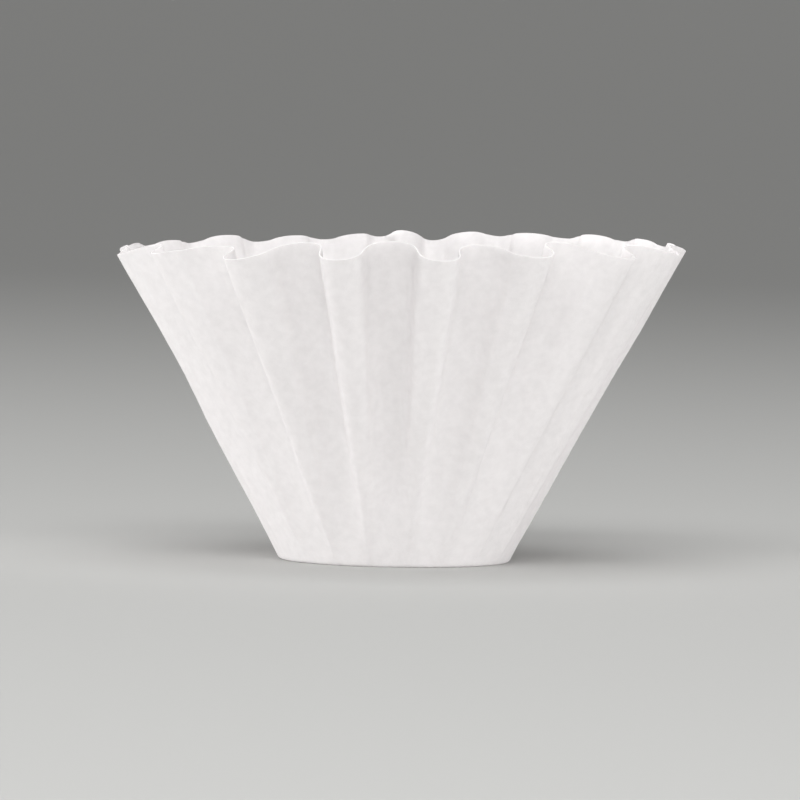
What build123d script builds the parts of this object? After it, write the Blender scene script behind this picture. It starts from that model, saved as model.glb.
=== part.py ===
"""A fluted paper coffee filter with a flat floor, pressed from one round disc of paper.

The floor lies on z = 0 with its centre at the origin. Bearings go round from the front, -Y, towards +X.
Paper folds but doesn't stretch, so the wall is made of flat panels that rise from the floor's crease. A flute
has a strip along the crown of its ridge and another along its valley, and a gusset on each side of the ridge:
a fan of panels with its tip on the crease. Each fold line is as long as the disc leaves from the crease to its
edge, so a ridge, which leans out further than a valley, ends lower.
"""
import os
from math import asin, cos, hypot, pi, radians, sin, sqrt, tan

from build123d import *

# The paper and the disc that the cup is pressed from, in millimetres
paper_thickness = 0.2
blank_radius = 82.4
blank_shift = 0.9  # the disc lay this far off the press's centre, towards +X
edge_lift = 0.5  # its cut edge stands up this much at one place at the back
lift_bearing = radians(140)

# The cup
base_radius = 20.2
rim_radius = 50.0  # to the ridges
rim_shift_x = 0.3  # the rim's centre from the floor's centre
rim_shift_y = -1.4

# The flutes, evenly spaced at the floor, and deeper and further apart at the front of the rim
flute_count = 20
first_ridge = radians(-11.3)
front_depth = 5.8  # ridge to valley at the rim
side_depth = 1.1
back_depth = 2.3
front_spread = radians(14.2)  # the ridges are pulled away from the front by up to this
ridge_lean = radians(18)  # the valleys are pulled less, so that ridges lean over to each side of the front
wander = radians(1.8)  # the slow unevenness of the ridges' spacing
wander_waves = 4
wander_phase = radians(170)

# The form of a flute at the rim, in its phase, which goes once round from a ridge to the next
squareness = 0.55  # 0 is a plain wave, and towards 1 the flanks stand radial
square_swing = 0.2  # added at the front and taken away at the back
ridge_narrowing = 0.12  # ridges are this much narrower than valleys
crease_narrowing = 0.75  # and by this at the floor, where a ridge starts as a narrow fold
crown_reach = radians(30)  # phase from the middle of a ridge's flat crown to its edge
valley_reach = radians(20)  # and from the middle of a valley's strip
gusset_panels = 13

tangent_step = 1e-4  # of phase, for the direction of the rim


def even_bearing(flute, phase):
    """The bearing before the cup was pulled open, bunched so that flutes have flat crowns and steep flanks."""
    bearing = first_ridge + (2 * pi * flute + phase) / flute_count
    steepness = squareness + square_swing * cos(bearing)
    return bearing + (steepness * sin(2 * phase) / 2 - ridge_narrowing * sin(phase)) / flute_count


def crease_point(bearing, radius, height):
    return Vector(radius * sin(bearing), -radius * cos(bearing), height)


def tip_bearing(flute, side):
    """Where a gusset starts on the crease, beside the narrow foot of its ridge."""
    ridge = flute if side == 1 else flute + 1
    return first_ridge + (2 * pi * ridge + side * (pi / 2 - crease_narrowing)) / flute_count


def rim_point(flute, phase, tip):
    """The end of the fold line that rises from a gusset's tip to the rim."""
    even = even_bearing(flute, phase)
    crest = cos(phase)  # 1 on the ridge's flat crown, and down to -1 in the round valley
    if crest > 0:
        crest = min(crest / cos(crown_reach), 1)
    lag = ridge_lean * abs(sin(even)) * cos(even / 2)**6 * (1 - crest) / 2
    bearing = even + (front_spread - lag) * sin(even) + wander * sin(wander_waves * even + wander_phase)
    depth = side_depth + (front_depth - side_depth) * cos(bearing / 2)**6
    depth += (back_depth - side_depth) * sin(bearing / 2)**6
    radius = rim_radius - depth * (1 - crest) / 2
    x = rim_shift_x + radius * sin(bearing)
    y = rim_shift_y - radius * cos(bearing)
    slant = blank_radius - base_radius + blank_shift * sin(bearing)
    slant += edge_lift * max(cos(bearing - lift_bearing), 0)**8
    run = hypot(x - tip.X, y - tip.Y)
    return Vector(x, y, sqrt(slant**2 - run**2))


def gusset_folds(flute, side):
    """A gusset's fold lines, in order round the cup, each as its ends on both faces of the paper.

    Side 1 goes from the ridge to the valley after it, and side -1 from there to the next ridge.
    """
    first_phase = crown_reach if side == 1 else pi + valley_reach
    bearing = tip_bearing(flute, side)
    tip = crease_point(bearing, base_radius, 0)
    # Inside the cup the paper's thickness narrows the ridges and widens the valleys.
    lean = asin((rim_radius - base_radius) / (blank_radius - base_radius))
    inner_radius = base_radius - paper_thickness * tan((pi / 2 - lean) / 2)
    inner_bearing = bearing - side * asin(paper_thickness / base_radius)
    inner_tip = crease_point(inner_bearing, inner_radius, paper_thickness)
    folds = []
    for panel in range(gusset_panels + 1):
        phase = first_phase + (pi - crown_reach - valley_reach) * panel / gusset_panels
        rim = rim_point(flute, phase, tip)
        along = rim_point(flute, phase + tangent_step, tip) - rim_point(flute, phase - tangent_step, tip)
        inner_rim = rim - along.cross(rim - tip).normalized() * paper_thickness
        folds.append((tip, rim, inner_rim, inner_tip))
    return folds


def panel_face(start, end, next_end, next_start):
    """The paper's surface between two fold lines: a flat triangle in a gusset, and a strip on a crown."""
    if start == next_start:
        return Face(Wire.make_polygon([start, end, next_end]))
    return Face.make_surface_from_curves(Edge.make_line(start, next_start), Edge.make_line(end, next_end))


def filter_paper():
    """The pressed paper: the wall's outer face, the cut edge at the rim, the inner face, and the floor."""
    gussets = [gusset_folds(flute, side) for flute in range(flute_count) for side in (1, -1)]
    folds = [fold for gusset in gussets for fold in gusset]
    faces = []
    for fold, next_fold in zip(folds, folds[1:] + folds[:1]):
        for lower, upper in ((0, 1), (1, 2), (3, 2)):
            faces.append(panel_face(fold[lower], fold[upper], next_fold[upper], next_fold[lower]))
    for level in (0, 3):
        faces.append(Face(Wire.make_polygon([gusset[0][level] for gusset in gussets])))
    return Solid(Shell(faces))


def main():
    os.makedirs("parts", exist_ok=True)
    paper = filter_paper()
    paper.label = "filter_paper"
    print(f"volume {paper.volume:.1f} mm3, box {paper.bounding_box().size}, valid {paper.is_valid}")
    export_step(paper, "parts/filter_paper.step")


main()
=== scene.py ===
# %% [markdown]
# # A fluted paper coffee filter
#
# The real filter is one round disc of bleached filter paper. A heated press folds it into a cup with a
# flat floor, and the paper that is left over towards the rim goes into twenty flutes. This lesson makes it
# the same way: a flat disc of rings and fold lines is laid over the form of the cup, crumpled a little,
# given its thickness, and then finished as paper.

# %% Load the frame
from math import cos, radians, sin

import bpy
import numpy as np
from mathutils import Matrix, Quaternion, Vector, noise


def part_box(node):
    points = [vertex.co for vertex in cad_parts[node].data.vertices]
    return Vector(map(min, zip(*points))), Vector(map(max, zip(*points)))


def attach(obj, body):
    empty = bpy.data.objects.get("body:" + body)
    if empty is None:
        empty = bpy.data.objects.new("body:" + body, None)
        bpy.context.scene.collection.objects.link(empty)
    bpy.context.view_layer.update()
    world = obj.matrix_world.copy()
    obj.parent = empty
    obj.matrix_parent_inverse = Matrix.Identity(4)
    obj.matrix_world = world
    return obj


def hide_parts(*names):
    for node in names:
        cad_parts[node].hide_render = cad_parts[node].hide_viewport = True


MM = 0.001

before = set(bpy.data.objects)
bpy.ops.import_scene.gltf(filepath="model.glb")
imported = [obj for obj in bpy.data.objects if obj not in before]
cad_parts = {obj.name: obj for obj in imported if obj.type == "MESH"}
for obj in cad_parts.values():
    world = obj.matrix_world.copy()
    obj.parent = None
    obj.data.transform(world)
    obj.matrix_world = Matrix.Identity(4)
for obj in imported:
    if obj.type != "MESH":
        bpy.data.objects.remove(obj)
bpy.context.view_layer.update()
paper_low, paper_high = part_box("filter_paper")
print("the cup's height in mm:", round((paper_high.z - paper_low.z) / MM, 2))

# %% [markdown]
# ## The form of the cup
#
# These are the driving sizes of the solid model, in millimetres, with bearings that go round from the front,
# -Y, towards +X. The solid's wall is made of flat panels, which is right for measuring and for collisions.
# For the eye the same form is worked out again as a smooth sheet, so that its folds can be rounded and its
# paper can buckle.

# %% Sizes of the paper and the cup
paper_thickness = 0.2
blank_radius = 82.4
blank_shift = 0.9  # the disc lay this far off the press's centre, towards +X
edge_lift = 0.5  # its cut edge stands up this much at one place at the back
lift_bearing = radians(140)
base_radius = 20.2
rim_radius = 50.0
rim_shift_x = 0.3
rim_shift_y = -1.4
flute_count = 20
first_ridge = radians(-11.3)
front_depth = 5.8  # of the flutes at the rim
side_depth = 1.1
back_depth = 2.3
front_spread = radians(14.2)  # their ridges are pulled further apart at the front
ridge_lean = radians(18)  # and lean over to each side of it
wander = radians(1.8)
wander_waves = 4
wander_phase = radians(170)
rim_squareness = 0.55
square_swing = 0.2  # added at the front, for steeper flanks, and taken away at the back
ridge_narrowing = 0.12
crease_narrowing = 0.75  # a ridge starts at the crease as a narrow fold
crown_reach = radians(30)
print("the flat disc is", 2 * blank_radius, "mm across")

# %% [markdown]
# ## Fold lines
#
# A grid that follows the folds keeps them crisp with few faces, where a plain grid would need many more. So
# each column of the grid is one fold line, from the middle of the disc over the crease to the rim. At the
# crease, where the flutes have no depth yet, the lines crowd together at the feet of the ridges. At the rim
# they crowd together on the steep flanks.

# %% Where the fold lines cross the crease
columns_per_flute = 36
column_count = flute_count * columns_per_flute
turn = np.arange(column_count) * 2 * np.pi / column_count
phase = turn * flute_count  # goes round once from a ridge to the next
around = first_ridge + turn


def bunched(squareness, narrowing):
    """The lines' bearings, crowded on the flanks by the squareness and at the ridges by the narrowing."""
    return around + (squareness * np.sin(2 * phase) / 2 - narrowing * np.sin(phase)) / flute_count


crease_bearing = bunched(0, crease_narrowing)
outward = np.stack([np.sin(crease_bearing), -np.cos(crease_bearing), 0 * turn], axis=1)
crease = outward * base_radius
print("fold lines:", column_count)

# %% [markdown]
# ## Flutes
#
# A plain wave would look like corrugated card. Pressed paper has broad ridges with steep flanks and round
# valleys, and to each side of the front its ridges fold over. The solid's crowns are flat strips. Here they
# are arched, more so towards the sides, because the light runs over a real crown from bright to dark. A
# crown's edge is crisp where the ridge folds over, and rounded on the other side.

# %% Crowns and valleys
front_arch = 0.05  # how far a crown's sides fall off, where a flute goes from 1 on its crown to -1
side_arch = 0.35  # and this is added towards the sides
crisp_reach = 1  # columns to each side over which an edge is rounded
round_reach = 2
edge_change = 3  # how quickly a crown goes over from its rounded side to its crisp one


def running_mean(values, reach, axis=0):
    """Each value's mean with so many neighbours to each side, round a closed row."""
    return sum(np.roll(values, shift, axis) for shift in range(-reach, reach + 1)) / (2 * reach + 1)


on_ridge = np.cos(phase) > 0
flat_crown = np.minimum(np.where(on_ridge, np.cos(phase) / cos(crown_reach), np.cos(phase)), 1)
crisp = running_mean(flat_crown, crisp_reach)
rounded = running_mean(crisp, round_reach)
faces_away = np.clip(0.5 + edge_change * np.sin(around) * np.sin(phase), 0, 1)  # 1 away from the front
arch = front_arch + side_arch * np.abs(np.sin(around))
crown = rounded + (crisp - rounded) * faces_away - arch * np.where(on_ridge, np.sin(2 * phase)**2, 0)
print("crowns from", crown.max().round(2), "to valleys at", crown.min().round(2))

# %% [markdown]
# ## Where the lines end
#
# The flutes are deepest at the front. No two of them at the back are quite alike, and only at the sides is
# the edge cut quite round: a few slow waves are enough for that. Paper doesn't stretch, so each line keeps
# the length that the disc leaves from the crease to its edge. A ridge reaches further out, so it ends
# lower, and the wavy rim follows by itself.

# %% The rim seen from above
broad_falloff = 6  # powers of a sine or cosine: the higher, the sooner it falls off
steep_falloff = 8
uneven_depth = 1.0
depth_waves = ((7, 4.2), (11, 4.1))  # how often a wave goes round the cup, and where it starts


def mixed(waves):
    """The mean of a few waves that go round the cup."""
    return sum(np.sin(count * around + start) for count, start in waves) / len(waves)


def front_share(bearing):
    """1 at the front, falling off to 0 at the back."""
    return np.cos(bearing / 2)**broad_falloff


def back_share(bearing):
    """1 at the back, falling off to 0 at the front."""
    return np.sin(bearing / 2)**broad_falloff


even = bunched(rim_squareness + square_swing * np.cos(around), ridge_narrowing)
lag = ridge_lean * np.abs(np.sin(even)) * front_share(even) * (1 - crown) / 2
rim_bearing = even + (front_spread - lag) * np.sin(even)
rim_bearing += wander * np.sin(wander_waves * even + wander_phase)
depth = side_depth + (front_depth - side_depth) * front_share(rim_bearing)
depth += (back_depth - side_depth) * back_share(rim_bearing)
depth += uneven_depth * back_share(even) * mixed(depth_waves)
rim_run = rim_radius - depth * (1 - crown) / 2
rim_x = rim_shift_x + rim_run * np.sin(rim_bearing)
rim_y = rim_shift_y - rim_run * np.cos(rim_bearing)
print("depth of the flutes in mm:", depth.min().round(1), "to", depth.max().round(1))

# %% How high the lines climb
uneven_edge = 0.4
edge_waves = ((9, 3.1), (14, 1.0))

slant = blank_radius - base_radius + blank_shift * np.sin(rim_bearing)
slant += edge_lift * np.maximum(np.cos(rim_bearing - lift_bearing), 0)**steep_falloff
slant += uneven_edge * mixed(edge_waves) * (1 - np.sin(even)**steep_falloff)
rim_z = np.sqrt(slant**2 - (rim_x - crease[:, 0])**2 - (rim_y - crease[:, 1])**2)
climb = (np.stack([rim_x, rim_y, rim_z], axis=1) - crease) / slant[:, None]
print("rim heights in mm:", rim_z.min().round(1), "to", rim_z.max().round(1))

# %% [markdown]
# ## The disc laid over the form
#
# The rings of the disc are the rows of the grid. Inside the crease they lie on the floor, and outside it
# they climb the wall. A sharp corner would look like cut metal, so the crease is a small bend: along a
# line, the run past the crease eases in like a parabola. The floor is flat and needs few columns, so
# towards its middle the rings keep fewer and fewer of them.

# %% Rows of the grid
crease_bend = 0.6
bend_row_count = 5
wall_row_count = 58
floor_rings = [3.0, 7.0, 11.0, 14.5, 17.0, 18.6, 19.3]
floor_steps = [16, 16, 16, 16, 8, 4, 2]  # a ring keeps every so many columns


def eased(run):
    """How far a line gets past the crease, rounded over the bend."""
    in_bend = (run + crease_bend)**2 / (4 * crease_bend)
    return np.where(np.abs(run) < crease_bend, in_bend, np.maximum(run, 0))


floor_runs = [np.full(column_count, ring - base_radius) for ring in floor_rings]
bend_runs = [np.full(column_count, run) for run in np.linspace(-crease_bend, crease_bend, bend_row_count)]
share_of_wall = np.linspace(0, 1, wall_row_count + 1)[1:]
wall_runs = [crease_bend + (slant - crease_bend) * share for share in share_of_wall]
runs = np.array(floor_runs + bend_runs + wall_runs)
row_steps = floor_steps + [1] * (len(runs) - len(floor_steps))
sheet = crease - outward * eased(-runs)[..., None] + climb * eased(runs)[..., None]
up_the_wall = np.clip(runs / slant, 0, 1)
print("rows:", len(runs))

# %% [markdown]
# ## Unevenness of the paper
#
# A pressed filter is never perfect. Between the folds the paper buckles in slow waves, and near the floor it
# is crimped into small creases. Both are smooth noise, which is the same on every run. It moves the sheet
# along its own normal, so the fold lines keep their places.

# %% Helpers for noise on the sheet
seed_direction = Vector((1, 2.7, -1.3))  # off the axes, so that the noise of each seed is another


def ripple(points, wavelength, seed):
    """Smooth noise, mostly between -1 and 1, with bumps about a wavelength apart."""
    shift = seed_direction * seed
    values = [noise.noise(Vector(point) / wavelength + shift) for point in points.reshape(-1, 3)]
    return np.array(values).reshape(points.shape[:2])


def normals(points):
    """Unit normals of the grid, out of the cup."""
    across = np.roll(points, -1, axis=1) - np.roll(points, 1, axis=1)
    along = np.gradient(points, axis=0)
    normal = np.cross(across, along)
    return normal / np.linalg.norm(normal, axis=2, keepdims=True)


# %% Buckles and crimps
slow_wave = 14.0
slow_height = 0.25
slow_seed = 3.1
slow_rise = 1 / 2  # share of the wall's height over which the buckles grow
crimp_wave = 2.6
crimp_height = 0.07
crimp_seed = 7.7
crimp_rise = 1 / 12
crimp_fade = 0.7  # share of its height that a crimp has lost at the rim

buckle = slow_height * ripple(sheet, slow_wave, slow_seed)
buckle *= np.sin(np.pi / 2 * np.minimum(up_the_wall / slow_rise, 1))
crimp = crimp_height * ripple(sheet, crimp_wave, crimp_seed)
crimp *= np.minimum(up_the_wall / crimp_rise, 1) * (1 - crimp_fade * up_the_wall)
sheet = sheet + normals(sheet) * (buckle + crimp)[..., None]
print("buckles in mm:", buckle.min().round(2), "to", buckle.max().round(2))

# %% [markdown]
# ## Two faces and a cut edge
#
# The paper's outer face is the sheet itself. A solidify modifier could make the inner face, but a second
# grid, moved in along the normals, keeps the same columns and lets the cut edge at the rim be a clean
# strip of faces. The edges of that strip are marked sharp, or the shading would smear round the thin rim.

# %% The inner face
fold_reach = 2  # the normals are evened out over so many columns, or the face would cross itself in folds

inner_sheet = sheet - running_mean(normals(sheet), fold_reach, axis=1) * paper_thickness
step_outside = np.roll(sheet, -1, axis=1) - sheet
step_inside = np.roll(inner_sheet, -1, axis=1) - inner_sheet
turned_back = (step_outside * step_inside).sum(axis=2) < 0
print("places where the inner face crosses itself:", int(turned_back.sum()))

# %% Points and faces
OUTER, INNER = 0, 1
vertices = []
index = {}
for side, grid in ((OUTER, sheet), (INNER, inner_sheet)):
    for row, step in enumerate(row_steps):
        for column in range(0, column_count, step):
            index[side, row, column] = len(vertices)
            vertices.append(grid[row, column] * MM)

faces = []
for side in (OUTER, INNER):
    for row in range(len(runs) - 1):
        wide, fine = row_steps[row], row_steps[row + 1]
        for column in range(0, column_count, wide):
            end = (column + wide) % column_count
            above = range(column + wide, column - 1, -fine)
            upper = [index[side, row + 1, k % column_count] for k in above]
            loop = [index[side, row, column], index[side, row, end]] + upper
            faces.append(loop if side == OUTER else loop[::-1])
    middle = [index[side, 0, column] for column in range(0, column_count, row_steps[0])]
    faces.append(middle if side == INNER else middle[::-1])

top = len(runs) - 1
for column in range(column_count):
    end = (column + 1) % column_count
    faces.append([index[OUTER, top, column], index[OUTER, top, end],
                  index[INNER, top, end], index[INNER, top, column]])
print("points:", len(vertices), "and faces:", len(faces))

# %% Mesh of the filter
mesh = bpy.data.meshes.new("pressed_filter")
mesh.from_pydata(vertices, [], faces)
mesh.validate()
for polygon in mesh.polygons:
    polygon.use_smooth = True

first_inner = index[INNER, 0, 0]
rim_vertices = {index[side, top, column] for side in (OUTER, INNER) for column in range(column_count)}
for edge in mesh.edges:
    start, end = edge.vertices
    same_side = (start < first_inner) == (end < first_inner)
    edge.use_edge_sharp = same_side and start in rim_vertices and end in rim_vertices

paper = bpy.data.objects.new("pressed_filter", mesh)
bpy.context.scene.collection.objects.link(paper)
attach(paper, "root")
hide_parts("filter_paper")
mesh.calc_loop_triangles()
print("triangles:", len(mesh.loop_triangles))

# %% [markdown]
# ## Bleached filter paper
#
# Filter paper is wood pulp, matt and a little translucent. Its fibres don't lie evenly: held up to the
# light it is cloudy, with denser flocs a millimetre or two across, and its surface is faintly rough. So
# the colour, the light that passes through and the roughness all follow the same cloudy pattern, and a
# finer grain gives the bump.

# %% Helpers for materials


def linear(hex_colour):
    """An sRGB colour such as #F3EFEE as linear red, green, blue and alpha."""
    channels = [int(hex_colour[i:i + 2], 16) / 255 for i in (1, 3, 5)]
    return [c / 12.92 if c <= 0.04045 else ((c + 0.055) / 1.055)**2.4 for c in channels] + [1.0]


def add_node(tree, kind, inputs=(), **settings):
    """Adds a node with its settings, and links or sets each of its inputs."""
    node = tree.nodes.new(kind)
    for name, value in settings.items():
        setattr(node, name, value)
    for name, value in dict(inputs).items():
        if isinstance(value, bpy.types.NodeSocket):
            tree.links.new(value, node.inputs[name])
        else:
            node.inputs[name].default_value = value
    return node


def new_material(name):
    """A material with an empty tree of nodes."""
    material = bpy.data.materials.new(name)
    material.use_nodes = True
    material.node_tree.nodes.clear()
    return material


# %% The paper's finish
floc_size = 1.5 * MM
grain_size = 0.5 * MM  # the fibres are finer, but they wouldn't show at this distance
grain_height = 0.05 * MM
pulp_colours = ((0.3, "#F2F0F0"), (0.7, "#F8F6F6"))  # where the pattern is thin, and where it is dense

filter_pulp = new_material("bleached_filter_paper")
tree = filter_pulp.node_tree
place = add_node(tree, "ShaderNodeTexCoord").outputs["Object"]
flocs = add_node(tree, "ShaderNodeTexNoise", {
    "Vector": place, "Scale": 1 / floc_size, "Detail": 3.0, "Roughness": 0.6}).outputs["Fac"]
grain = add_node(tree, "ShaderNodeTexNoise", {
    "Vector": place, "Scale": 1 / grain_size, "Detail": 2.0}).outputs["Fac"]
pulp = add_node(tree, "ShaderNodeValToRGB", {"Fac": flocs})
for stop, (position, colour) in zip(pulp.color_ramp.elements, pulp_colours):
    stop.position = position
    stop.color = linear(colour)
matt = add_node(tree, "ShaderNodeMapRange", {"Value": flocs, "To Min": 0.8, "To Max": 0.95})
relief = add_node(tree, "ShaderNodeBump", {"Height": grain, "Strength": 0.6, "Distance": grain_height})
surface = add_node(tree, "ShaderNodeBsdfPrincipled", {
    "Base Color": pulp.outputs["Color"], "Roughness": matt.outputs["Result"], "IOR": 1.5,
    "Specular IOR Level": 0.3, "Normal": relief.outputs["Normal"]})
through = add_node(tree, "ShaderNodeBsdfTranslucent", {
    "Color": pulp.outputs["Color"], "Normal": relief.outputs["Normal"]})
thin = add_node(tree, "ShaderNodeMapRange", {"Value": flocs, "To Min": 0.43, "To Max": 0.37})
sheet_shader = add_node(tree, "ShaderNodeMixShader", {
    0: thin.outputs["Result"], 1: surface.outputs["BSDF"], 2: through.outputs["BSDF"]})
add_node(tree, "ShaderNodeOutputMaterial", {"Surface": sheet_shader.outputs["Shader"]})
mesh.materials.append(filter_pulp)
print("material:", filter_pulp.name, "with", len(tree.nodes), "nodes")

# %% [markdown]
# ## A pale studio floor
#
# White paper only reads against something a little darker. The floor is a wide bowl of pale grey paper, flat
# under the filter and curved up all round, so that no horizon line shows from any side. It is quite matt, so
# that no highlight of it competes with the filter.

# %% Floor that curves up into a backdrop
disc_radius = 0.2  # of the one round face in the middle, in metres
floor_radius = 1.8
sweep_radius = 1.4
sweep_rise = 0.45
ring_sides = 96
sweep_steps = 16

sweep = [radians(90) * step / sweep_steps for step in range(sweep_steps + 1)]
curve = [(floor_radius + sweep_radius * sin(angle), sweep_rise * (1 - cos(angle))) for angle in sweep]
profile = [(disc_radius, 0.0)] + curve
spokes = [radians(360) * k / ring_sides for k in range(ring_sides)]
bowl_vertices = [(r * sin(spoke), r * cos(spoke), z) for r, z in profile for spoke in spokes]
bowl_faces = [list(range(ring_sides))[::-1]]
for ring in range(len(profile) - 1):
    for k in range(ring_sides):
        start, end = ring * ring_sides + k, ring * ring_sides + (k + 1) % ring_sides
        bowl_faces.append([start, end, end + ring_sides, start + ring_sides])
bowl = bpy.data.meshes.new("studio_floor")
bowl.from_pydata(bowl_vertices, [], bowl_faces)
for polygon in bowl.polygons:
    polygon.use_smooth = True
floor = bpy.data.objects.new("studio_floor", bowl)
bpy.context.scene.collection.objects.link(floor)
print("the floor is", 2 * floor_radius, "m across")

# %% The floor's finish
matt_grey = new_material("matt_grey_backdrop_paper")
tree = matt_grey.node_tree
backdrop = add_node(tree, "ShaderNodeBsdfPrincipled", {"Base Color": linear("#B8B8B6"), "Roughness": 0.9})
add_node(tree, "ShaderNodeOutputMaterial", {"Surface": backdrop.outputs["BSDF"]})
bowl.materials.append(matt_grey)
print("material:", matt_grey.name)

# %% [markdown]
# ## Soft light
#
# The filter is lit very evenly, a little more from the left. Long low strips stand on the left, on the right
# and in front: light that comes in level grazes the flutes and barely shines into the cup. The left edges of
# the ridges then show as bright lines and their right sides as soft grey. A large softbox above the viewer
# lights the front and the inside of the back, one overhead lights the floor of the cup, and the pale air of
# the studio does the rest.

# %% Lights
light_aim = Vector((0, 0, 0.03))  # halfway up the filter
strip_level = 0.045
strip_height = 0.07
air_glow = 0.3


def softbox(name, place, width, height, power):
    """A rectangle of light that faces the filter and isn't seen itself, in metres and watts."""
    light = bpy.data.lights.new(name, "AREA")
    light.shape = "RECTANGLE"
    light.size = width
    light.size_y = height
    light.energy = power
    lamp = bpy.data.objects.new(name, light)
    lamp.location = place
    lamp.rotation_euler = (light_aim - lamp.location).to_track_quat("-Z", "Y").to_euler()
    lamp.visible_camera = False
    bpy.context.scene.collection.objects.link(lamp)


softbox("left", (-1.49, -0.13, strip_level), 1.2, strip_height, 9.5)
softbox("left_rear", (-1.41, 0.51, strip_level), 1.2, strip_height, 8.5)
softbox("right", (1.45, -0.39, strip_level), 1.6, strip_height, 12.0)
softbox("front", (0.0, -1.6, 0.1), 1.0, 0.18, 6.0)
softbox("above", (-0.15, -1.15, 1.1), 1.4, 0.8, 18.0)
softbox("overhead", (0.0, 0.0, 1.3), 0.9, 0.9, 6.0)

world = bpy.data.worlds.new("studio_air")
world.use_nodes = True
air = world.node_tree.nodes["Background"]
air.inputs["Color"].default_value = linear("#FFFFFF")
air.inputs["Strength"].default_value = air_glow
bpy.context.scene.world = world
bpy.context.scene.view_settings.view_transform = "Standard"
print("softboxes:", len(bpy.data.lights))

# %% [markdown]
# ## Camera
#
# The viewer looks almost level at the cup, from far off through a long lens, with the picture turned by a
# degree. From nearer by, the front flutes would look larger than those at the sides, so the distance
# matters as much as the lens.

# %% Camera at the viewing angle
camera_distance = 1.253
camera_elevation = radians(2.56)
camera_roll = radians(1.07)
camera_aim = Vector((0.00055, 0, 0.0281))
sensor_width = 36.0
lens_length = 321.4

back = Vector((0, -cos(camera_elevation), sin(camera_elevation)))
camera_data = bpy.data.cameras.new("camera")
camera_data.sensor_width = sensor_width
camera_data.lens = lens_length
camera = bpy.data.objects.new("camera", camera_data)
camera.location = camera_aim + back * camera_distance
level = (-back).to_track_quat("-Z", "Y")
camera.rotation_euler = (level @ Quaternion((0, 0, 1), camera_roll)).to_euler()
bpy.context.scene.collection.objects.link(camera)
bpy.context.scene.camera = camera
print("camera at", [round(value, 3) for value in camera.location])
